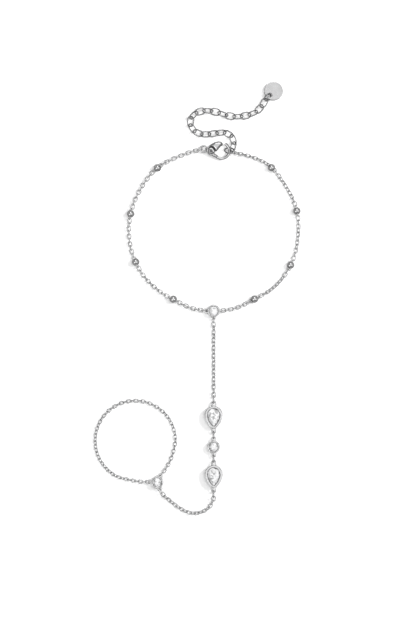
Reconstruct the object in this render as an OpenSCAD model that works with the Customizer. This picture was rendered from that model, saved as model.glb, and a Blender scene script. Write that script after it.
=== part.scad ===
// Hand chain bracelet, laid flat on a table: a wrist loop with a lobster clasp and an extender,
// a drop with three set stones, a lead chain and a finger loop. Millimetres, +Z up.

/* [Wrist loop] */
// Width of the wrist loop, between the middles of its links
wrist_w = 56; // [50:1:64]
// Length of the wrist loop, from the clasp to the centre setting
wrist_l = 53; // [48:1:60]
// Outer length of a small link
link_l = 2.05; // [2:0.01:2.3]
// Outer width of a small link
link_w = 1.5; // [1.4:0.05:1.7]
// Wire of a small link
link_wire = 0.27; // [0.25:0.01:0.3]
// Diameter of the balls
ball_d = 2.4; // [2:0.1:2.5]

/* [Finger loop] */
// Diameter of the finger loop, between the middles of its links
finger_d = 26.5; // [24:0.5:30]
// Outer length of a fine link
fine_l = 1.85; // [1.8:0.01:2]
// Outer width of a fine link
fine_w = 1.35; // [1.25:0.05:1.5]
// Wire of a fine link
fine_wire = 0.25; // [0.23:0.01:0.27]

/* [Extender] */
// Outer length of an extender link
ext_l = 3.7; // [3.5:0.05:4]
// Outer width of an extender link
ext_w = 2.9; // [2.7:0.05:3.1]
// Wire of an extender link
ext_wire = 0.38; // [0.36:0.01:0.42]
// Diameter of the end tag
tag_d = 6.2; // [5.5:0.1:7]
// Thickness of the end tag
tag_t = 0.6; // [0.5:0.05:0.8]
// Hole in the end tag
tag_hole_d = 1.5; // [1.4:0.05:1.7]

/* [Jump rings] */
// Outer diameter of the rings between the settings
jump_d = 2.8; // [2.6:0.1:3.2]
// Wire of the rings between the settings
jump_wire = 0.4; // [0.36:0.01:0.44]
// Outer diameter of the clasp's ring
end_d = 3.4; // [3.3:0.1:3.7]
// Wire of the clasp's ring
end_wire = 0.42; // [0.38:0.01:0.44]
// Outer diameter of the tag's ring
tag_ring_d = 3; // [2.9:0.1:3.3]
// Wire of the tag's ring
tag_ring_wire = 0.45; // [0.4:0.01:0.48]

/* [Round settings] */
// Outer diameter of a round setting
round_d = 4; // [3.8:0.1:5]
// Height of a round setting
round_h = 2.2; // [2:0.1:2.6]
// Wall of a round setting
round_rim = 0.45; // [0.35:0.05:0.6]

/* [Pear settings] */
// Width of a pear setting
pear_w = 5.75; // [5.2:0.05:6.6]
// Length of a pear setting
pear_l = 7.35; // [6.8:0.05:8.4]
// Radius of a pear setting's narrow end
pear_tip_r = 1.25; // [1.1:0.05:1.5]
// Radius of a pear setting's long sides
pear_side_r = 6.5; // [6:0.5:9]
// Height of a pear setting
pear_h = 2.6; // [2.4:0.1:3]
// Wall of a pear setting
pear_rim = 0.75; // [0.55:0.05:0.85]

/* [Soldered loops] */
// Width of a loop
loop_w = 1.6; // [1.5:0.05:1.9]
// Wire of a loop
loop_wire = 0.4; // [0.34:0.01:0.42]
// How far a loop for a jump ring stands out from a round setting
round_loop = 1.5; // [1.4:0.05:2]
// How far a loop for a jump ring stands out from a pear setting
pear_loop = 1.8; // [1.6:0.05:2.2]
// Height of the loops, the clasp and its eye above the table
loop_z = 1.1; // [1.05:0.05:1.3]

/* [Drop] */
// Distance between the centre setting and the upper pear setting
drop_l = 29.4; // [24:0.2:36]

/* [Clasp] */
// Radius of the hook's bow, to the middle of its wire
hook_r = 2.55; // [2.4:0.05:2.8]
// Wire of the hook
hook_wire = 0.84; // [0.74:0.02:0.86]
// Distance from the eye to the middle of the bow
hook_reach = 6; // [5.8:0.1:6.6]
// Outer diameter of the clasp's eye
eye_d = 2.6; // [2.5:0.1:3]
// Wire of the clasp's eye
eye_wire = 0.6; // [0.5:0.02:0.62]
// Thickness of the clasp
clasp_t = 1.7; // [1.5:0.1:2]
// Thickness of the slot for the lever's root
slot_t = 0.7; // [0.6:0.05:0.8]
// Diameter of the pin that the lever turns on
pin_d = 0.6; // [0.5:0.05:0.7]

/* [Fit] */
// Free space between a link's wire and its neighbour's
link_gap = 0.14; // [0.1:0.01:0.15]
// Free space round a stone, and on each side of the lever's root
stone_gap = 0.06; // [0.05:0.01:0.08]
// Free space round the lever's pin
pin_gap = 0.05; // [0.04:0.01:0.08]

/* [Hidden] */
$fn = 48;

// Each kind of link: outer length, outer width, wire
SMALL = [link_l, link_w, link_wire];
FINE = [fine_l, fine_w, fine_wire];
EXTENDER = [ext_l, ext_w, ext_wire];

// Length over which a chain comes down from a fitting to the table, and takes up its twist
settle = 5;
// Spare way for the first link of a run inside its eye
slack = 0.1;
// Lean of the extender's links from the table, to alternate sides, and of the first one in its ring
ext_lean = 38;
ext_first_lean = 54;
// Lean of the clasp's ring and the tag's ring from upright
end_lean = 40;

// The wrist loop's line, anticlockwise from the clasp: angle, share of the half width and length
WRIST_SHAPE = [
  [108, 1.01], [127, 1.02], [142, 1.01], [160, 1], [178, 1], [196, 1], [214, 1], [230, 0.99],
  [242, 0.98], [254, 1],
  [286, 1], [299, 0.98], [313, 1], [328, 1.005], [345, 1], [363, 1], [378, 1.01], [392, 1.01],
  [405, 1.03], [415, 1.035], [425, 1.015]];
// Places of the balls as shares of each half of the loop, from the clasp and from the setting
LEFT_BALLS = [0.2, 0.425, 0.63, 0.855];
RIGHT_BALLS = [0.15, 0.365, 0.6, 0.815];
// Twist of the links in the middle of each run
LEFT_TWIST = [0, 0, 0, 20, 0];
RIGHT_TWIST = [0, 45, 30, 45, 20];
drop_twist = 45;
lead_twist = 40;
// Twist of the finger loop's links, at shares of its length from the left side of its setting
FINGER_TWIST = [[0, 15], [0.08, 25], [0.16, 45], [0.34, 42], [0.45, 22], [0.56, 12], [0.66, 20],
                [0.76, 42], [0.86, 25], [1, 15]];

// Route of the extender from the clasp's ring, as points from that ring's middle
EXT_ROUTE = [
  [1.7, 2.5], [0.7, 4.9], [-1.6, 6], [-4.2, 5.7], [-6.8, 5.3], [-9.6, 5.4], [-12, 6.8], [-13, 9.3],
  [-11.9, 11.8], [-9.3, 13], [-6.8, 13.1], [-4.2, 12.7], [-1.5, 11.7], [1.1, 11.1], [4, 11.2],
  [6.7, 11.7], [9.1, 12.8], [10.9, 14.7]];
// Place of the tag's ring from the middle of the clasp's ring, and the turn towards the tag
TAG_RING = [12.7, 17.5];
tag_turn = 50;
// Place of the tag's near rim from the middle of its ring: back along that turn, and across it
tag_back = 0.37;
tag_across = 0.13;
// How far the tag's rim on the ring's side is lifted, and the metal outside its hole
tag_lift = 0.95;
tag_wall = 0.55;

// Route of the lead chain from the drop's end, and the place of the finger setting from there
LEAD_ROUTE = [[-0.35, -1.7], [-1.7, -3.7], [-4.2, -5.1], [-7.3, -5.4], [-10.8, -4], [-14.3, -1.4],
              [-17, 1]];
FINGER_AT = [-18.6, 4.8];
// Middle of the finger loop from the finger setting, and the turns of that setting's loops
finger_dir = 118;
finger_out = 2.2;
finger_loop_left = 177;
finger_loop_top = 63;
finger_loop_low = -68;

// Place of the clasp's eye from the top of the wrist loop, and of the ring from the hook's far side
CLASP_AT = [-3.4, 0.3];
END_RING = [-0.05, -0.45];
// Turns on that ring at which the wrist chain and the extender hang, and how far inside its wire
end_chain_turn = -50;
end_chain_in = 0.09;
end_ext_turn = 0;
end_ext_in = 0.23;
// Lean of the wrist chain's last link in that ring
end_chain_lean = 46;
// The hook's bow: its middle below the eye's line, the angles of its two ends
bow_y = -0.6;
bow_from = -146;
bow_to = 65;
// The lever's pin, the boss round it, the lever's hub and its own reach
pin_at = [2.5, -0.7];
boss_r = 1.25;
hub_r = 0.8;
// Free space of the lever: round its hub, beside its root, round the boss, and its inset in height
hub_gap = 0.1;
root_gap = 0.1;
boss_gap = 0.12;
lever_inset = 0.15;
root_w = 0.35;

steel = [0.78, 0.79, 0.81];
clear_stone = [0.93, 0.95, 0.97];

// Small helpers
function turn(a) = [cos(a), sin(a)];
function flat(p) = [p[0], p[1]];
function mix(a, b, t) = a + (b - a) * t;

// A smooth line through points, and the way along it
function between(p, q, r, s, t) =
  (2 * q + (r - p) * t + (2 * p - 5 * q + 4 * r - s) * t * t + (3 * q - p - 3 * r + s) * t * t * t) / 2;
function smooth(points, steps = 8) = let (last = len(points) - 1) [
  for (i = [0:last - 1], k = [0:steps - 1])
    between(points[max(i - 1, 0)], points[i], points[i + 1], points[min(i + 2, last)], k / steps),
  points[last]];
function sums(line) = [
  for (i = 0, s = 0; i < len(line);
       s = s + (i + 1 < len(line) ? norm(line[i + 1] - line[i]) : 0), i = i + 1) s];
function total(line) = let (all = sums(line)) all[len(all) - 1];
function point_at(line, way, s) =
  let (k = max([for (i = [0:len(way) - 2]) if (way[i] <= s || i == 0) i]))
  mix(line[k], line[k + 1], (s - way[k]) / (way[k + 1] - way[k]));
function turn_at(line, way, s) =
  let (d = point_at(line, way, s + 0.3) - point_at(line, way, s - 0.3)) atan2(d[1], d[0]);

// A chain: how far a link reaches past its joint, its longest step, and its height
function reach(kind) = kind[2] + link_gap / 2;
function longest_step(kind) = kind[0] - 2 * kind[2] - link_gap;
function count(length, kind) = ceil(length / longest_step(kind) - 0.001);
function even_count(length, kind) = 2 * ceil(length / longest_step(kind) / 2 - 0.001);
function ease(u) = u >= 1 ? 0 : (1 - u) * (1 - u) * (1 + 2 * u);
function height(s, length, z, rest) =
  rest + (z[0] - rest) * ease(s / settle) + (z[1] - rest) * ease((length - s) / settle);

// Where a chain joins a solid face that carries an eye, and how far that eye then stands out
function eye_joint(kind) = link_gap + reach(kind) + slack;
function eye_out(kind, wire) = eye_joint(kind) + link_gap / 2 + wire;

// The clasp and its ring
eye_at = [CLASP_AT[0], wrist_l / 2 + CLASP_AT[1]];
bow_at = [hook_reach, bow_y];
end_ring_at = eye_at + [hook_reach + hook_r, 0] + END_RING;
function leaning_z(d, wire) = (d - wire) / 2 * cos(end_lean) + wire / 2;
function on_leaning(at, d, wire, way, r, a) = [
  at[0] + r * (cos(a) * cos(way) - sin(a) * sin(end_lean) * sin(way)),
  at[1] + r * (cos(a) * sin(way) + sin(a) * sin(end_lean) * cos(way)),
  leaning_z(d, wire) - r * sin(a) * cos(end_lean)];
end_in = end_d / 2 - end_wire - link_gap / 2;
right_joint = on_leaning(end_ring_at, end_d, end_wire, 0, end_in - end_chain_in, end_chain_turn);
ext_joint = on_leaning(end_ring_at, end_d, end_wire, 0, end_in - end_ext_in, end_ext_turn);

// The centre setting and the two halves of the wrist loop
centre_at = [0, -wrist_l / 2];
left_joint = flat(eye_at) + (eye_d / 2 - eye_wire - link_gap / 2) * turn(200);
side_joint = round_d / 2 + eye_joint(SMALL);
function wrist_points(low, high) = [
  for (row = WRIST_SHAPE) if (row[0] > low && row[0] < high)
    [wrist_w * cos(row[0]), wrist_l * sin(row[0])] / 2 * row[1]];
left_line = smooth(concat([left_joint], wrist_points(0, 270), [centre_at - [side_joint, 0]]));
right_line = smooth(concat(
  [centre_at + [side_joint, 0]], wrist_points(270, 450), [flat(right_joint)]));
left_way = sums(left_line);
right_way = sums(right_line);
left_stops = concat([0], LEFT_BALLS * total(left_line), [total(left_line)]);
right_stops = concat([0], RIGHT_BALLS * total(right_line), [total(right_line)]);
ball_joint = ball_d / 2 + eye_joint(SMALL);
function run_from(stops, i) = stops[i] + (i > 0 ? ball_joint : 0);
function run_to(stops, i) = stops[i + 1] - (i < len(stops) - 2 ? ball_joint : 0);
function run_count(stops, i) = count(run_to(stops, i) - run_from(stops, i), SMALL);
// The first run on the left starts upright in the clasp's flat eye, the last one on the right ends
// with the lean that its ring needs, and the others start flat
left_rolls = [90, 0, 0, 0, 0];
right_rolls = [0, 0, 0, 0, -end_chain_lean - 90 * (run_count(right_stops, 4) - 1)];

// The drop, downwards from the centre setting: settings, loops and jump rings
jump_r = (jump_d - jump_wire) / 2;
jump_in = jump_d / 2 - jump_wire;
jump_z = jump_d / 2;
function in_ring(wire, z) = sqrt(pow(jump_in - wire / 2 - link_gap, 2) - pow(jump_z - z, 2));
jump_to_loop = in_ring(loop_wire, loop_z);
jump_to_link = in_ring(link_wire, loop_z) + link_wire / 2 + link_gap / 2;
upper_pear_top = centre_at[1] - round_d / 2 - drop_l;
upper_ring_y = upper_pear_top + pear_loop - loop_wire / 2 + jump_to_loop;
function ring_after(edge, loop) = edge - loop + loop_wire / 2 - jump_to_loop;
upper_middle_ring_y = ring_after(upper_pear_top - pear_l, pear_loop);
middle_top = upper_middle_ring_y - jump_to_loop + loop_wire / 2 - round_loop;
lower_middle_ring_y = ring_after(middle_top - round_d, round_loop);
lower_pear_top = lower_middle_ring_y - jump_to_loop + loop_wire / 2 - pear_loop;
lower_ring_y = ring_after(lower_pear_top - pear_l, pear_loop);
drop_line = [[0, centre_at[1] - side_joint], [0, upper_ring_y + jump_to_link]];

// The lead chain and the finger loop
lead_from = [0, lower_ring_y - jump_to_link];
finger_at = lead_from + FINGER_AT;
lead_line = smooth(concat(
  [lead_from], [for (p = LEAD_ROUTE) lead_from + p], [finger_at + side_joint * turn(finger_loop_low)]));
fine_joint = round_d / 2 + eye_joint(FINE);
finger_mid = finger_at + (finger_d / 2 + finger_out) * turn(finger_dir);
finger_line = smooth(concat(
  [finger_at + fine_joint * turn(finger_loop_left)],
  [for (i = [0:9]) finger_mid + finger_d / 2 * turn(finger_dir + 153 - 33.3 * i)],
  [finger_at + fine_joint * turn(finger_loop_top)]), 10);
finger_count = count(total(finger_line), FINE);
finger_half = floor(finger_count / 2);

// The extender, from the clasp's ring to the tag's ring, and the tag
tag_ring_at = end_ring_at + TAG_RING;
tag_low = tag_turn + 180;
tag_in = tag_ring_d / 2 - tag_ring_wire - link_gap / 2;
tag_joint = on_leaning(tag_ring_at, tag_ring_d, tag_ring_wire, tag_low, tag_in, 0);
ext_line = smooth(concat([flat(ext_joint)], [for (p = EXT_ROUTE) end_ring_at + p], [flat(tag_joint)]));
ext_count = even_count(total(ext_line), EXTENDER);
// The links lean by this and by the rest of a right angle in turn, and the steeper ones touch the table
ext_z = (ext_w - ext_wire) / 2 * max(sin(ext_lean), cos(ext_lean)) + ext_wire / 2;
hole_to_mid = tag_d / 2 - tag_wall - tag_hole_d / 2;
tag_at = tag_ring_at + (tag_d / 2 - tag_back) * turn(tag_turn) + tag_across * turn(tag_turn - 90);
tag_tilt = asin(tag_lift / tag_d);

// Middle of the whole layout on the table
all_points = concat(left_line, right_line, finger_line, lead_line, ext_line);
x_low = min([for (p = all_points) p[0]]) - fine_w / 2;
x_high = max([for (p = all_points) p[0]]) + link_w / 2;
y_low = min([for (p = all_points) p[1]]) - link_w / 2;
y_high = tag_at[1] + tag_d / 2;
middle = [(x_low + x_high) / 2, (y_low + y_high) / 2];

module place(at, a = 0, z = 0) {
  translate([at[0] - middle[0], at[1] - middle[1], z]) rotate([0, 0, a]) children();
}

// One wire link along X
module link(kind) {
  r = (kind[1] - kind[2]) / 2;
  s = kind[0] - kind[1];
  union() {
    for (e = [0, 180]) rotate([0, 0, e]) translate([s / 2, 0, 0]) rotate([0, 0, -90])
      rotate_extrude(angle = 180) translate([r, 0]) circle(kind[2] / 2, $fn = 24);
    for (e = [-1, 1]) translate([0, e * r, 0]) rotate([0, 90, 0])
      cylinder(h = s, r = kind[2] / 2, center = true, $fn = 24);
  }
}

// A link laid from one joint to the next
module link_on(a, b, roll, kind) {
  d = b - a;
  m = (a + b) / 2;
  translate([m[0] - middle[0], m[1] - middle[1], m[2]])
    rotate([0, -atan2(d[2], norm(flat(d))), atan2(d[1], d[0])]) rotate([roll, 0, 0]) link(kind);
}

// A run of links along a line, with the heights of its two ends; the twist is one angle or a table
module strand(line, from, to, z, kind, roll, twist = 0, rest = 0, n = 0, first = 0, last = -1) {
  way = sums(line);
  length = to - from;
  links = n > 0 ? n : count(length, kind);
  low = rest > 0 ? rest : kind[1] / 2;
  path = [for (k = [0:4 * links]) let (s = length * k / links / 4)
    concat(point_at(line, way, from + s), height(s, length, z, low))];
  path_way = sums(path);
  joint = [for (i = [0:links]) point_at(path, path_way, path_way[4 * links] * i / links)];
  for (i = [first:last < 0 ? links - 1 : last]) {
    s = (i + 0.5) * length / links;
    full_twist = is_list(twist) ? lookup(s / length, twist) : twist;
    bent = full_twist * (1 - ease(s / settle) - ease((length - s) / settle));
    link_on(joint[i], joint[i + 1], roll + 90 * i + bent, kind);
  }
}

// A wire loop that stands out along X, from inside the metal to its outer end
module wire_eye(from, out, w, wire) {
  r = (w - wire) / 2;
  bend = out - wire / 2 - r;
  union() {
    translate([bend, 0, 0]) rotate([0, 0, -90]) rotate_extrude(angle = 180)
      translate([r, 0]) circle(wire / 2, $fn = 24);
    for (e = [-1, 1]) translate([from, e * r, 0]) rotate([0, 90, 0])
      cylinder(h = bend - from, r = wire / 2, $fn = 24);
  }
}

// A plain closed ring, upright along X and then leaning back
module jump_ring(d, wire, lean = 0) {
  rotate([90 + lean, 0, 0]) rotate_extrude() translate([(d - wire) / 2, 0]) circle(wire / 2, $fn = 24);
}

module half_chain(line, stops, rolls, twists, z_first, z_last) {
  for (i = [0:4])
    strand(line, run_from(stops, i), run_to(stops, i),
           [i == 0 ? z_first : ball_d / 2, i == 4 ? z_last : ball_d / 2], SMALL, rolls[i], twists[i]);
}

module chain_left() {
  color(steel) half_chain(left_line, left_stops, left_rolls, LEFT_TWIST, loop_z, loop_z);
}

module chain_right() {
  color(steel) half_chain(right_line, right_stops, right_rolls, RIGHT_TWIST, loop_z, right_joint[2]);
}

// A ball with an eye at each side, turned across the link that it takes
module ball(line, way, stops, rolls, i) {
  out = ball_d / 2 + eye_out(SMALL, link_wire);
  before = rolls[i] + 90 * run_count(stops, i);
  place(point_at(line, way, stops[i + 1]), turn_at(line, way, stops[i + 1]), ball_d / 2)
    color(steel) union() {
      rotate([0, 0, 90]) sphere(d = ball_d);
      rotate([before, 0, 180]) wire_eye(0, out, link_w, link_wire);
      rotate([rolls[i + 1] + 90, 0, 0]) wire_eye(0, out, link_w, link_wire);
    }
}

module left_ball(i) {
  ball(left_line, left_way, left_stops, left_rolls, i);
}

module right_ball(i) {
  ball(right_line, right_way, right_stops, right_rolls, i);
}

// A cup for a round stone, with a closed flat back
function round_pocket() = round_d / 2 - round_rim;
module round_setting(eyes) {
  r = round_d / 2;
  soft = round_rim / 2;
  union() {
    rotate_extrude() polygon([
      [0, 0], [r - soft, 0], [r, soft], [r, round_h - soft], [r - soft / 3, round_h - soft / 3],
      [r - soft, round_h], [round_pocket() + soft / 3, round_h], [round_pocket(), round_h - soft / 3],
      [round_pocket(), round_rim], [0, round_rim]]);
    for (eye = eyes) translate([0, 0, loop_z]) rotate([eye[2], 0, eye[0]])
      wire_eye(r - 0.6 * round_rim, r + eye[1], loop_w, loop_wire);
  }
}

// A cut stone: table, star and main facets, girdle, and a pointed back
module cut_stone(outline, depth, crown, centre = [0, 0]) {
  n = len(outline);
  girdle = depth * 0.04;
  points = concat(
    [for (i = [0:2:n - 1]) concat(mix(centre, outline[i], 0.56), depth)],
    [for (i = [1:2:n - 1]) concat(mix(centre, outline[i], 0.83), depth - crown * 0.42)],
    [for (p = outline, z = [depth - crown, depth - crown - girdle]) concat(p, z)],
    [for (i = [1:2:n - 1]) concat(mix(centre, outline[i], 0.52), (depth - crown) * 0.42)],
    [concat(centre, 0)]);
  hull() polyhedron(points, [[for (i = [0:len(points) - 1]) i]]);
}

round_stone_depth = (round_h - round_rim) * 0.94;
module round_stone() {
  r = round_pocket() - stone_gap;
  translate([0, 0, round_rim + stone_gap])
    cut_stone([for (i = [0:15]) r * turn(22.5 * i)], round_stone_depth, round_stone_depth * 0.3);
}

// The pear's outline: a wide end, two long sides and a narrow end, all meeting smoothly
pear_wide_r = pear_w / 2;
pear_c = pear_l - pear_wide_r - pear_tip_r;
side_y = ((pear_wide_r - pear_tip_r) * (2 * pear_side_r - pear_wide_r - pear_tip_r) - pear_c * pear_c)
         / (2 * pear_c);
side_x = sqrt(pow(pear_side_r - pear_wide_r, 2) - side_y * side_y);
wide_turn = atan2(-side_y, side_x);
tip_turn = atan2(-pear_c - side_y, side_x);
module pear_shape(inset) {
  low = (pear_tip_r - inset) * sin(tip_turn) - pear_c;
  high = (pear_wide_r - inset) * sin(wide_turn);
  circle(pear_wide_r - inset);
  translate([0, -pear_c]) circle(pear_tip_r - inset);
  intersection() {
    translate([-side_x, side_y]) circle(pear_side_r - inset, $fn = 96);
    translate([side_x, side_y]) circle(pear_side_r - inset, $fn = 96);
    translate([-pear_w, low]) square([2 * pear_w, high - low]);
  }
}
function pear_outline(inset) = concat(
  [for (i = [0:10]) (pear_wide_r - inset) * turn(mix(wide_turn, 180 - wide_turn, i / 10))],
  [for (i = [1:4]) [side_x, side_y]
    + (pear_side_r - inset) * turn(180 - mix(wide_turn, tip_turn, i / 4))],
  [for (i = [1:4]) [0, -pear_c] + (pear_tip_r - inset) * turn(mix(-180 - tip_turn, tip_turn, i / 5))],
  [for (i = [0:3]) [-side_x, side_y] + (pear_side_r - inset) * turn(mix(tip_turn, wide_turn, i / 4))]);

module pear_cup() {
  union() {
    difference() {
      linear_extrude(pear_h) pear_shape(0);
      translate([0, 0, pear_rim / 2]) linear_extrude(pear_h) pear_shape(pear_rim);
    }
    translate([0, 0, loop_z]) rotate([0, 0, 90])
      wire_eye(pear_wide_r - 0.6 * pear_rim, pear_wide_r + pear_loop, loop_w, loop_wire);
    translate([0, -pear_c, loop_z]) rotate([0, 0, -90])
      wire_eye(pear_tip_r - 0.6 * pear_rim, pear_tip_r + pear_loop, loop_w, loop_wire);
  }
}

pear_stone_depth = (pear_h - pear_rim / 2) * 0.92;
module pear_stone() {
  translate([0, 0, pear_rim / 2 + stone_gap])
    cut_stone(pear_outline(pear_rim + stone_gap), pear_stone_depth, pear_stone_depth * 0.28,
              [0, -pear_c * 0.35]);
}

// The lobster clasp, drawn from the middle of its eye
module lever_outline() {
  polygon([[1.75, 0.75], [2.6, 1.55], [3.7, 2.2], [4.9, 2.5], [5.9, 2.35], [6.35, 1.85],
           [6.45, 1.4], [5.9, 1.1], [5.1, 0.2], [4.4, -0.7], [3.8, -0.9]]);
}

module clasp_body() {
  // The slot's open side, as wide as the lever needs
  opening = [pin_at, pin_at + 4 * turn(-36), pin_at + 6 * turn(50), pin_at + 4 * turn(136)];
  place(eye_at, 0, loop_z) color(steel) union() {
    rotate_extrude() translate([(eye_d - eye_wire) / 2, 0]) circle(eye_wire / 2, $fn = 24);
    difference() {
      translate([0, 0, -clasp_t / 2]) linear_extrude(clasp_t) {
        translate(pin_at) circle(boss_r);
        polygon([[1, 0.55], [1.75, 0.3], [2.3, -1.9], [1.4, -1.5], [0.95, -0.65]]);
        polygon([[2.1, -1.88], [3.5, -1.4], [4.75, -2.1], [4.35, -2.95], [3.4, -2.6]]);
      }
      translate([pin_at[0], pin_at[1], -slot_t / 2]) cylinder(h = slot_t, r = hub_r + hub_gap);
      translate([0, 0, -slot_t / 2]) linear_extrude(slot_t) polygon(opening);
    }
    translate(concat(pin_at, -slot_t)) cylinder(h = 2 * slot_t, d = pin_d);
    translate(concat(bow_at, 0)) rotate([0, 0, bow_from]) rotate_extrude(angle = bow_to - bow_from)
      translate([hook_r, 0]) circle(hook_wire / 2, $fn = 32);
    translate(concat(bow_at + hook_r * turn(bow_to), 0)) sphere(d = hook_wire);
  }
}

module clasp_lever() {
  root_t = slot_t - 2 * root_gap;
  lever_t = clasp_t - 2 * lever_inset;
  place(eye_at, 0, loop_z) color(steel) difference() {
    union() {
      translate([0, 0, -root_t / 2]) linear_extrude(root_t) {
        translate(pin_at) circle(hub_r);
        polygon([pin_at - [root_w, 0], [1.75, 0.75], [3.7, 2.2], [4.4, -0.7], pin_at - [0, root_w]]);
      }
      difference() {
        translate([0, 0, -lever_t / 2]) linear_extrude(lever_t) lever_outline();
        translate(concat(pin_at, -clasp_t)) cylinder(h = 2 * clasp_t, r = boss_r + boss_gap);
      }
    }
    translate(concat(pin_at, -clasp_t)) cylinder(h = 2 * clasp_t, d = pin_d + 2 * pin_gap);
  }
}

module end_ring() {
  place(end_ring_at, 0, leaning_z(end_d, end_wire)) color(steel) jump_ring(end_d, end_wire, end_lean);
}

module extender_chain() {
  color(steel) strand(ext_line, 0, total(ext_line), [ext_joint[2], tag_joint[2]], EXTENDER,
                      ext_first_lean, ext_lean - ext_first_lean, ext_z, ext_count);
}

module tag_ring() {
  place(tag_ring_at, tag_low, leaning_z(tag_ring_d, tag_ring_wire)) color(steel)
    jump_ring(tag_ring_d, tag_ring_wire, end_lean);
}

module end_tag() {
  soft = tag_t / 4;
  r = tag_d / 2;
  place(tag_at, tag_low) color(steel) translate([-r, 0, 0]) rotate([0, -tag_tilt, 0])
    translate([r, 0, 0]) difference() {
      rotate_extrude() polygon([
        [0, 0], [r - soft, 0], [r, soft], [r, tag_t - soft], [r - soft, tag_t], [0, tag_t]]);
      translate([hole_to_mid, 0, -tag_t]) cylinder(h = 3 * tag_t, d = tag_hole_d);
    }
}

module centre_setting() {
  chain_out = eye_out(SMALL, loop_wire);
  place(centre_at) color(steel) round_setting([
    [180, chain_out, 90 * run_count(left_stops, 4)], [0, chain_out, 90], [-90, chain_out, 0]]);
}

module centre_stone() {
  place(centre_at) color(clear_stone) round_stone();
}

module drop_chain() {
  length = total(drop_line);
  color(steel) strand(drop_line, 0, length, [loop_z, loop_z], SMALL, 90, drop_twist,
                      n = even_count(length, SMALL));
}

// The pieces of the drop, each at its own place down the middle
module drop_ring(y) {
  place([0, y], 90, jump_z) color(steel) jump_ring(jump_d, jump_wire);
}

module upper_ring() {
  drop_ring(upper_ring_y);
}

module upper_pear_setting() {
  place([0, upper_pear_top - pear_wide_r]) color(steel) pear_cup();
}

module upper_pear_stone() {
  place([0, upper_pear_top - pear_wide_r]) color(clear_stone) pear_stone();
}

module upper_middle_ring() {
  drop_ring(upper_middle_ring_y);
}

module middle_setting() {
  place([0, middle_top - round_d / 2]) color(steel)
    round_setting([[90, round_loop, 0], [-90, round_loop, 0]]);
}

module middle_stone() {
  place([0, middle_top - round_d / 2]) color(clear_stone) round_stone();
}

module lower_middle_ring() {
  drop_ring(lower_middle_ring_y);
}

module lower_pear_setting() {
  place([0, lower_pear_top - pear_wide_r]) color(steel) pear_cup();
}

module lower_pear_stone() {
  place([0, lower_pear_top - pear_wide_r]) color(clear_stone) pear_stone();
}

module lower_ring() {
  drop_ring(lower_ring_y);
}

module lead_chain() {
  color(steel) strand(lead_line, 0, total(lead_line), [loop_z, loop_z], SMALL, 0, lead_twist);
}

module finger_setting() {
  fine_out = eye_out(FINE, loop_wire);
  place(finger_at) color(steel) round_setting([
    [finger_loop_low, eye_out(SMALL, loop_wire), 90 * count(total(lead_line), SMALL)],
    [finger_loop_left, fine_out, 90], [finger_loop_top, fine_out, 90 * finger_count]]);
}

module finger_stone() {
  place(finger_at) color(clear_stone) round_stone();
}

module finger_chain(first, last) {
  color(steel) strand(finger_line, 0, total(finger_line), [loop_z, loop_z], FINE, 0, FINGER_TWIST,
                      n = finger_count, first = first, last = last);
}

module finger_chain_left() {
  finger_chain(0, finger_half - 1);
}

module finger_chain_right() {
  finger_chain(finger_half, finger_count - 1);
}

chain_left();
chain_right();
for (i = [0:3]) {
  left_ball(i);
  right_ball(i);
}
clasp_body();
clasp_lever();
end_ring();
extender_chain();
tag_ring();
end_tag();
centre_setting();
centre_stone();
drop_chain();
upper_ring();
upper_pear_setting();
upper_pear_stone();
upper_middle_ring();
middle_setting();
middle_stone();
lower_middle_ring();
lower_pear_setting();
lower_pear_stone();
lower_ring();
lead_chain();
finger_setting();
finger_stone();
finger_chain_left();
finger_chain_right();
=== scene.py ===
# A hand chain bracelet in polished steel with clear stones, on a white table, seen from above
import math

import bmesh
import bpy
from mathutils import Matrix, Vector
from mathutils.kdtree import KDTree

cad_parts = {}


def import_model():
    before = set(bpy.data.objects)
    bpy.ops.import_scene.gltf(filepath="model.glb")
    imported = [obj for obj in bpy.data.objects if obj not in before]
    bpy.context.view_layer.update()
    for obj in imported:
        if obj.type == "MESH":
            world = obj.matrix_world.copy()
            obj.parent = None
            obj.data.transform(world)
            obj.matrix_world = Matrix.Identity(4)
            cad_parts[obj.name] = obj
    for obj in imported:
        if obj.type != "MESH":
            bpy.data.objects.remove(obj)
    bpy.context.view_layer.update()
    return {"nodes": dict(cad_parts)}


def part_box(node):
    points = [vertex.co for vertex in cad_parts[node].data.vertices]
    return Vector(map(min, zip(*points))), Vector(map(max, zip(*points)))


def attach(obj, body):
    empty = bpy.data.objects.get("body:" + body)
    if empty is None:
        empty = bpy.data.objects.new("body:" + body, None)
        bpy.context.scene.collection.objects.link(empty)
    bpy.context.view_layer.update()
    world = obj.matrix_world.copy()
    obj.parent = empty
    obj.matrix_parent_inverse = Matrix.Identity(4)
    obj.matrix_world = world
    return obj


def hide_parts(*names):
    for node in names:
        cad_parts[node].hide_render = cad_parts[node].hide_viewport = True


mm = 0.001


def newObject(name, data):
    piece = bpy.data.objects.new(name, data)
    bpy.context.scene.collection.objects.link(piece)
    return piece


def putOn(piece, material):
    piece.data.materials.clear()
    piece.data.materials.append(material)


# Fills a node's inputs by name: a plain value is set, and the output of another node is linked
def setInputs(node, inputs):
    for name, value in inputs.items():
        if isinstance(value, bpy.types.NodeSocket):
            node.id_data.links.new(value, node.inputs[name])
        else:
            node.inputs[name].default_value = value


def makeNode(tree, kind, at, inputs=None, **options):
    node = tree.nodes.new(kind)
    node.location = at
    for name, value in options.items():
        setattr(node, name, value)
    setInputs(node, inputs or {})
    return node


def reckon(tree, at, how, first, second=0.0):
    return makeNode(tree, "ShaderNodeMath", at, {0: first, 1: second}, operation=how).outputs[0]


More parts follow.
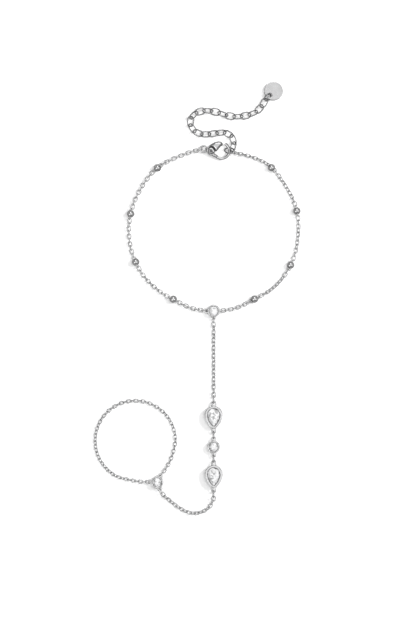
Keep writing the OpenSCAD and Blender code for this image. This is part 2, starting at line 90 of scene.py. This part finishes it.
def mapRange(tree, at, value, start, end):
    inputs = {"Value": value, "From Min": start[0], "From Max": start[1],
              "To Min": end[0], "To Max": end[1]}
    return makeNode(tree, "ShaderNodeMapRange", at, inputs).outputs["Result"]


def mixColours(tree, at, how, first, second, share=1.0):
    inputs = {"Factor": share, "A": first, "B": second}
    return makeNode(tree, "ShaderNodeMix", at, inputs,
                    data_type="RGBA", blend_type=how).outputs["Result"]


def noise(tree, at, place, scale, detail):
    inputs = {"Vector": place, "Scale": scale, "Detail": detail}
    return makeNode(tree, "ShaderNodeTexNoise", at, inputs).outputs["Fac"]


def newMaterial(name):
    material = bpy.data.materials.new(name)
    material.use_nodes = True
    return material, material.node_tree, material.node_tree.nodes["Principled BSDF"]


camera = {"height": 0.9, "viewHeight": 205.9 * mm, "centre": (3.64 * mm, -4.37 * mm),
          "sensor": 36, "near": 10 * mm}


def makeCamera(look):
    data = bpy.data.cameras.new("camera")
    data.sensor_fit = "VERTICAL"
    data.sensor_height = look["sensor"]
    data.lens = look["sensor"] * look["height"] / look["viewHeight"]
    data.clip_start = look["near"]
    eye = newObject("camera", data)
    eye.location = (*look["centre"], look["height"])
    bpy.context.scene.camera = eye


# The worn look and the painted shade that all the steels share: the tones of the cloud, the
# steepness over which a side's painted shade fades into a top, the noise that counts as a scratch,
# how rough it makes the steel, and how the scratches run
wearAndPaintedShade = {"tones": (0.86, 1.08), "cloudDetail": 3.0, "paintedShadeSlopes": (0.5, 0.9),
        "scratches": (0.35, 0.75), "rough": (0.75, 1.7), "scratchDetail": 4.0,
        "turn": (0.3, 0.2, 0.6), "stretch": (1.0, 0.16, 0.6), "deep": 0.02 * mm}


# The polish of worn steel: a faint cloud of colour, fine scratches in the surface and roughness,
# and painted shade that makes the steep sides darker than the tops
def polishAndShadeGroup():
    group = bpy.data.node_groups.new("wornPolishAndPaintedShade", "ShaderNodeTree")
    for name, kind in (("Colour", "NodeSocketColor"), ("Roughness", "NodeSocketFloat"),
                       ("Cloud Size", "NodeSocketFloat"), ("Scratch Size", "NodeSocketFloat"),
                       ("Depth", "NodeSocketFloat"), ("Painted Side Shade", "NodeSocketFloat")):
        group.interface.new_socket(name, in_out="INPUT", socket_type=kind)
    for name, kind in (("Colour", "NodeSocketColor"), ("Roughness", "NodeSocketFloat"),
                       ("Normal", "NodeSocketVector")):
        group.interface.new_socket(name, in_out="OUTPUT", socket_type=kind)
    given = makeNode(group, "NodeGroupInput", (-900, 0)).outputs
    place = makeNode(group, "ShaderNodeTexCoord", (-900, 300)).outputs["Object"]

    cloudScale = reckon(group, (-700, 200), "DIVIDE", 1.0, given["Cloud Size"])
    cloud = noise(group, (-500, 250), place, cloudScale, wearAndPaintedShade["cloudDetail"])
    tone = mapRange(group, (-250, 300), cloud, (0.0, 1.0), wearAndPaintedShade["tones"])
    shade = mixColours(group, (0, 300), "MULTIPLY", given["Colour"], tone)

    # Painted shade: the steeper the surface, the darker its colour, down to a wall's painted tone
    facing = makeNode(group, "ShaderNodeNewGeometry", (-900, 650)).outputs["Normal"]
    upright = makeNode(group, "ShaderNodeSeparateXYZ", (-700, 650), {0: facing}).outputs["Z"]
    level = reckon(group, (-500, 650), "ABSOLUTE", upright)
    side = mapRange(group, (-250, 600), level, wearAndPaintedShade["paintedShadeSlopes"], (given["Painted Side Shade"], 1.0))
    colour = mixColours(group, (250, 350), "MULTIPLY", shade, side)

    scratchScale = reckon(group, (-700, -200), "DIVIDE", 1.0, given["Scratch Size"])
    drawn = makeNode(group, "ShaderNodeMapping", (-700, -20), {
        "Vector": place, "Rotation": wearAndPaintedShade["turn"], "Scale": wearAndPaintedShade["stretch"]}).outputs["Vector"]
    scratch = noise(group, (-500, -100), drawn, scratchScale, wearAndPaintedShade["scratchDetail"])
    rub = mapRange(group, (-250, 0), scratch, wearAndPaintedShade["scratches"], wearAndPaintedShade["rough"])
    roughness = reckon(group, (0, 50), "MULTIPLY", given["Roughness"], rub)
    normal = makeNode(group, "ShaderNodeBump", (200, -150), {
        "Distance": wearAndPaintedShade["deep"], "Strength": given["Depth"], "Height": scratch}).outputs["Normal"]

    makeNode(group, "NodeGroupOutput", (700, 0),
             {"Colour": colour, "Roughness": roughness, "Normal": normal})
    return group


# One steel for each kind of piece: "polish" and "scratch" are the sizes of the cloud and the
# scratches, "depth" is how deep they are, and "side" is how bright its steep sides stay under the
# painted shade
# They are all one polished steel; their colours are set lighter or darker from kind to kind as
# painted light and shade
chainSteel = {"colour": (0.62, 0.62, 0.625), "roughness": 0.2, "polish": 1.2 * mm,
              "scratch": 0.25 * mm, "depth": 0.1, "side": 0.45}
extenderSteel = {"colour": (0.39, 0.39, 0.395), "roughness": 0.17, "polish": 1.2 * mm,
                 "scratch": 0.25 * mm, "depth": 0.1, "side": 0.3}
claspSteel = {"colour": (0.7, 0.7, 0.705), "roughness": 0.13, "polish": 2.0 * mm,
              "scratch": 0.4 * mm, "depth": 0.07, "side": 0.12}
pearSteel = {"colour": (0.76, 0.76, 0.765), "roughness": 0.13, "polish": 2.0 * mm,
             "scratch": 0.4 * mm, "depth": 0.07, "side": 0.38}
roundSteel = {"colour": (0.9, 0.9, 0.905), "roughness": 0.13, "polish": 2.0 * mm,
              "scratch": 0.4 * mm, "depth": 0.07, "side": 0.45}
ballSteel = {"colour": (0.68, 0.68, 0.685), "roughness": 0.06, "polish": 1.5 * mm,
             "scratch": 0.3 * mm, "depth": 0.05, "side": 0.1}
tagSteel = {"colour": (0.74, 0.74, 0.745), "roughness": 0.16, "polish": 1.5 * mm,
            "scratch": 0.2 * mm, "depth": 0.14, "side": 0.35}


def steelMaterial(name, look, group):
    material, tree, shader = newMaterial(name)
    polish = makeNode(tree, "ShaderNodeGroup", (-300, 0), {
        "Colour": (*look["colour"], 1), "Roughness": look["roughness"],
        "Cloud Size": look["polish"], "Scratch Size": look["scratch"],
        "Depth": look["depth"], "Painted Side Shade": look["side"]}, node_tree=group).outputs
    setInputs(shader, {"Base Color": polish["Colour"], "Roughness": polish["Roughness"],
                       "Normal": polish["Normal"], "Metallic": 1.0})
    return material


# The stones' glitter is painted reflection: each facet has its own painted tone, from "dark" to
# white, and "glintShare" of the small spots on them are painted darker still, down to "glints"
stone = {"colour": (0.98, 0.985, 1.0), "white": (1.0, 1.0, 1.0), "ior": 1.8, "clear": 0.1,
         "roughness": (0.008, 0.036), "cloud": 0.6 * mm, "cloudDetail": 2.0,
         "dark": 0.62, "facetNoise": 2.5, "paintedFacetTones": (0.35, 0.6),
         "glints": 0.35, "glintShare": 0.5, "glintSize": 0.6 * mm}


def stoneMaterial(name, look):
    material, tree, shader = newMaterial(name)
    place = makeNode(tree, "ShaderNodeTexCoord", (-800, 0)).outputs
    cloud = noise(tree, (-600, 0), place["Object"], 1 / look["cloud"], look["cloudDetail"])
    tint = mixColours(tree, (-300, 100), "MIX", (*look["colour"], 1), (*look["white"], 1), cloud)

    # Painted reflection: each facet gets a tone of its own from the direction it faces
    facet = noise(tree, (-600, 300), place["Normal"], look["facetNoise"], 0.0)
    tone = mapRange(tree, (-400, 300), facet, look["paintedFacetTones"], (look["dark"], 1.0))
    shade = mixColours(tree, (-100, 200), "MULTIPLY", tint, tone)

    # Painted glitter: small darker spots scattered over the stones
    spot = makeNode(tree, "ShaderNodeTexVoronoi", (-600, 550), {
        "Vector": place["Object"], "Scale": 1 / look["glintSize"]}).outputs["Color"]
    chance = makeNode(tree, "ShaderNodeSeparateColor", (-400, 550), {"Color": spot}).outputs["Red"]
    glint = mapRange(tree, (-200, 550), chance, (0.0, look["glintShare"]), (look["glints"], 1.0))
    colour = mixColours(tree, (100, 400), "MULTIPLY", shade, glint)

    rub = mapRange(tree, (-300, -150), cloud, (0.0, 1.0), look["roughness"])
    setInputs(shader, {"Base Color": colour, "Roughness": rub, "IOR": look["ior"],
                       "Transmission Weight": look["clear"]})
    return material


# The cast pieces: the grain of their mesh, how often and how far it is smoothed, the slope up to
# which a face counts as a wall, and how far each kind of edge is rounded over
cast = {"grain": 0.055 * mm, "passes": 4, "pull": 0.5, "wallSlope": 0.4,
        "settingEdge": 0.2 * mm, "bodyEdge": 0.5 * mm, "leverEdge": 0.8 * mm, "tagEdge": 0.2 * mm}


# Rounds the upper and lower edges over, by the distance of each point from the nearest wall
def roundOver(mesh, radius):
    walls = [v.co for v in mesh.vertices if abs(v.normal.z) < cast["wallSlope"]]
    tree = KDTree(len(walls))
    for i, wall in enumerate(walls):
        tree.insert((wall.x, wall.y, 0), i)
    tree.balance()
    high = max(v.co.z for v in mesh.vertices) - radius
    low = min(v.co.z for v in mesh.vertices) + radius
    for v in mesh.vertices:
        level = high if v.co.z > high else low if v.co.z < low else None
        if level is not None:
            inward = min(tree.find((v.co.x, v.co.y, 0))[2] / radius, 1.0)
            v.co.z = level + (v.co.z - level) * (1 - (1 - inward) ** 2) ** 0.5


# A copy of a solid as a polished casting, with its edges rounded over as tumbled metal's are
def castCopy(nodeName, material, edge, body="bracelet"):
    piece = newObject(nodeName + "_cast", frame["nodes"][nodeName].data.copy())
    remesh = piece.modifiers.new("even", "REMESH")
    remesh.mode = "VOXEL"
    remesh.voxel_size = cast["grain"]
    soften = piece.modifiers.new("soften", "SMOOTH")
    soften.factor = cast["pull"]
    soften.iterations = cast["passes"]
    bpy.context.view_layer.update()
    done = piece.evaluated_get(bpy.context.evaluated_depsgraph_get())
    mesh = bpy.data.meshes.new_from_object(done)
    piece.modifiers.clear()
    piece.data = mesh
    roundOver(mesh, edge)
    mesh.polygons.foreach_set("use_smooth", [True] * len(mesh.polygons))
    putOn(piece, material)
    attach(piece, body)
    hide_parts(nodeName)


# A cut stone inside an outline: rings of points from the table down to the point at the back
def cutStone(nodeName, outline, cut, centre, low, high, material):
    count = 2 * cut["facets"]
    depth = high - low
    girdleTop = high - depth * cut["crown"]
    girdleLow = girdleTop - depth * cut["girdle"]
    mesh = bmesh.new()

    def ring(share, z, first=0, step=1):
        return [mesh.verts.new((*(centre + (outline(i / count) - centre) * share), z))
                for i in range(first, count, step)]

    tableRing = ring(cut["table"], high, 0, 2)
    starRing = ring(cut["star"], high - depth * cut["crown"] * cut["starDepth"], 1, 2)
    upper = ring(1.0, girdleTop)
    lower = ring(1.0, girdleLow)
    backRing = ring(cut["back"], low + (girdleLow - low) * cut["backHeight"], 1, 2)
    point = mesh.verts.new((*centre, low))
    mesh.faces.new(tableRing)
    for i in range(cut["facets"]):
        after = (i + 1) % cut["facets"]
        here, middle, there = upper[2 * i], upper[2 * i + 1], upper[2 * after]
        mesh.faces.new((tableRing[i], starRing[i], tableRing[after]))
        mesh.faces.new((starRing[i], here, middle))
        mesh.faces.new((starRing[i], middle, there))
        mesh.faces.new((tableRing[after], starRing[i], there, starRing[after]))
        lowHere, lowMiddle, lowThere = lower[2 * i], lower[2 * i + 1], lower[2 * after]
        mesh.faces.new((here, lowHere, lowMiddle, middle))
        mesh.faces.new((middle, lowMiddle, lowThere, there))
        mesh.faces.new((backRing[i], lowMiddle, lowHere))
        mesh.faces.new((backRing[i], lowThere, lowMiddle))
        mesh.faces.new((backRing[i], point, backRing[after], lowThere))
    bmesh.ops.recalc_face_normals(mesh, faces=mesh.faces)
    data = bpy.data.meshes.new(nodeName + "_cut")
    mesh.to_mesh(data)
    mesh.free()
    piece = newObject(nodeName + "_cut", data)
    putOn(piece, material)
    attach(piece, "bracelet")
    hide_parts(nodeName)


def onCircle(centre, radius, turn):
    return centre + radius * Vector((math.cos(turn), math.sin(turn)))


# How each stone is cut: widths are shares of its outline, "crown" and "girdle" are shares of its
# depth, "starDepth" is a share of the crown, and "backHeight" is a share of the back
roundCut = {"facets": 8, "table": 0.56, "star": 0.76, "starDepth": 0.48, "crown": 0.3,
            "girdle": 0.03, "back": 0.5, "backHeight": 0.4}


def roundStone(nodeName, cut, material):
    low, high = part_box(nodeName)
    centre = Vector(((low.x + high.x) / 2, (low.y + high.y) / 2))
    radius = (high.x - low.x) / 2

    def outline(t):
        return onCircle(centre, radius, 2 * math.pi * t)

    cutStone(nodeName, outline, cut, centre, low.z, high.z, material)


# "tip" and "side" are the radii of the pear's other arcs against its wide arc's, "middle" is how
# far down its point lies, and "ends" are the shares of the outline where three of its arcs end
pearCut = {"facets": 10, "table": 0.55, "star": 0.77, "starDepth": 0.48, "crown": 0.28,
           "girdle": 0.03, "back": 0.5, "backHeight": 0.4,
           "tip": 0.213, "side": 2.76, "middle": 0.35, "ends": (0.45, 0.65, 0.8)}


# The pear's outline is a wide arc, two long side arcs and a narrow arc, which all meet smoothly
def pearStone(nodeName, cut, material):
    low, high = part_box(nodeName)
    wide = (high.x - low.x) / 2
    tip = wide * cut["tip"]
    side = wide * cut["side"]
    top = Vector(((low.x + high.x) / 2, high.y - wide))
    drop = high.y - low.y - wide - tip
    sideY = ((wide - tip) * (2 * side - wide - tip) - drop ** 2) / (2 * drop)
    sideX = ((side - wide) ** 2 - sideY ** 2) ** 0.5
    wideTurn = math.atan2(-sideY, sideX)
    tipTurn = math.atan2(-drop - sideY, sideX)
    wideEnd, leftEnd, tipEnd = cut["ends"]
    arcs = ((0.0, wideEnd, top, wide, wideTurn, math.pi - wideTurn),
            (wideEnd, leftEnd, top + Vector((sideX, sideY)), side,
             math.pi - wideTurn, math.pi - tipTurn),
            (leftEnd, tipEnd, top - Vector((0, drop)), tip, -math.pi - tipTurn, tipTurn),
            (tipEnd, 1.0, top + Vector((-sideX, sideY)), side, tipTurn, wideTurn))

    def outline(t):
        start, end, centre, radius, turnFrom, turnTo = next(arc for arc in arcs if t < arc[1])
        turn = turnFrom + (turnTo - turnFrom) * (t - start) / (end - start)
        return onCircle(centre, radius, turn)

    middle = top - Vector((0, drop * cut["middle"]))
    cutStone(nodeName, outline, cut, middle, low.z, high.z, material)


table = {"size": 1.0, "parts": 8, "colour": (0.9, 0.9, 0.9), "lighter": (0.909, 0.909, 0.909),
         "roughness": 0.55, "gloss": 0.2, "grain": 4 * mm, "grainDetail": 2.0}


def tableMaterial(name, look):
    material, tree, shader = newMaterial(name)
    place = makeNode(tree, "ShaderNodeTexCoord", (-800, 0)).outputs["Object"]
    grain = noise(tree, (-600, 0), place, 1 / look["grain"], look["grainDetail"])
    colour = mixColours(tree, (-300, 100), "MIX",
                        (*look["colour"], 1), (*look["lighter"], 1), grain)
    setInputs(shader, {"Base Color": colour, "Roughness": look["roughness"],
                       "Specular IOR Level": look["gloss"]})
    return material


def makeTable(look):
    grid = bmesh.new()
    bmesh.ops.create_grid(grid, x_segments=look["parts"], y_segments=look["parts"],
                          size=look["size"] / 2)
    data = bpy.data.meshes.new("table")
    grid.to_mesh(data)
    grid.free()
    piece = newObject("table", data)
    putOn(piece, tableMaterial("tableWhite", look))


# The studio that the steel mirrors: bands of brightness from the horizon, 0, to straight up, 1, and
# soft windows, each by its turn, its tilt from straight up and half its width, in degrees
world = {"strength": 1.0,
         "bands": ((0.0, 0.55), (0.5, 0.45), (0.64, 0.13), (0.75, 0.1), (0.88, 0.85), (0.97, 0.95)),
         "windows": ((85, 44, 18), (355, 42, 16), (212, 42, 16)), "glass": 2.0, "frame": 0.15}


def makeWorld(look):
    studio = bpy.data.worlds.new("studio")
    bpy.context.scene.world = studio
    studio.use_nodes = True
    studio.cycles_visibility.diffuse = False  # the two lamps alone light the table
    tree = studio.node_tree
    towards = makeNode(tree, "ShaderNodeTexCoord", (-900, 0)).outputs["Generated"]
    height = makeNode(tree, "ShaderNodeSeparateXYZ", (-700, 0), {0: towards}).outputs["Z"]
    ramp = makeNode(tree, "ShaderNodeValToRGB", (-450, 0), {"Fac": height})
    stops = ramp.color_ramp.elements
    stops[1].position = look["bands"][-1][0]
    for position, value in look["bands"][1:-1]:
        stops.new(position)
    for stop, (position, value) in zip(stops, look["bands"]):
        stop.color = (value, value, value, 1)
    glow = ramp.outputs["Color"]
    for i, window in enumerate(look["windows"]):
        turn, tilt, half = [math.radians(angle) for angle in window]
        y = 300 + 250 * i
        middle = (math.sin(tilt) * math.cos(turn), math.sin(tilt) * math.sin(turn), math.cos(tilt))
        nearness = makeNode(tree, "ShaderNodeVectorMath", (-450, y), {0: towards, 1: middle},
                            operation="DOT_PRODUCT").outputs["Value"]
        edge = [math.cos(half * (1 + look["frame"])), math.cos(half * (1 - look["frame"]))]
        glass = mapRange(tree, (-250, y), nearness, edge, (0.0, look["glass"]))
        glow = mixColours(tree, (0, y), "LIGHTEN", glow, glass)
    setInputs(tree.nodes["Background"], {"Color": glow, "Strength": look["strength"]})


keyLight = {"from": (0.44, 0.18, 0.46), "size": 0.2, "power": 3.1}
fillLight = {"from": (0.0, 0.0, 0.85), "size": 0.9, "power": 8.3}


def makeLight(name, look):
    data = bpy.data.lights.new(name, "AREA")
    data.shape = "DISK"
    data.size = look["size"]
    data.energy = look["power"]
    lamp = newObject(name, data)
    lamp.location = look["from"]
    lamp.rotation_euler = (-Vector(look["from"])).to_track_quat("-Z", "Y").to_euler()
    lamp.visible_glossy = False  # the steel mirrors the studio's windows instead
    lamp.visible_transmission = False


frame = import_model()
bpy.context.scene.view_settings.view_transform = "Standard"
makeCamera(camera)
print("frame and camera ready")

polish = polishAndShadeGroup()
chainMetal = steelMaterial("chainSteel", chainSteel, polish)
extenderMetal = steelMaterial("extenderSteel", extenderSteel, polish)
claspMetal = steelMaterial("claspSteel", claspSteel, polish)
pearMetal = steelMaterial("pearSteel", pearSteel, polish)
roundMetal = steelMaterial("roundSteel", roundSteel, polish)
ballMetal = steelMaterial("ballSteel", ballSteel, polish)
tagMetal = steelMaterial("tagSteel", tagSteel, polish)
clearStone = stoneMaterial("clearStone", stone)
for nodeName, node in frame["nodes"].items():
    if nodeName.endswith("stone"):
        putOn(node, clearStone)
    elif nodeName.startswith("ball"):
        putOn(node, ballMetal)
    elif nodeName in ("extender_chain", "end_ring", "tag_ring"):
        putOn(node, extenderMetal)
    else:
        putOn(node, chainMetal)
print("finishes ready")

for nodeName in ("centre_setting", "middle_setting", "finger_setting"):
    castCopy(nodeName, roundMetal, cast["settingEdge"])
for nodeName in ("upper_pear_setting", "lower_pear_setting"):
    castCopy(nodeName, pearMetal, cast["settingEdge"])
print("settings ready")

castCopy("clasp_body", claspMetal, cast["bodyEdge"])
castCopy("clasp_lever", claspMetal, cast["leverEdge"], "lever")
castCopy("end_tag", tagMetal, cast["tagEdge"])
print("clasp and tag ready")

for nodeName in ("centre_stone", "middle_stone", "finger_stone"):
    roundStone(nodeName, roundCut, clearStone)
for nodeName in ("upper_pear_stone", "lower_pear_stone"):
    pearStone(nodeName, pearCut, clearStone)
print("stones ready")

makeTable(table)
makeWorld(world)
makeLight("keyLight", keyLight)
makeLight("fillLight", fillLight)
print("table and lights ready")
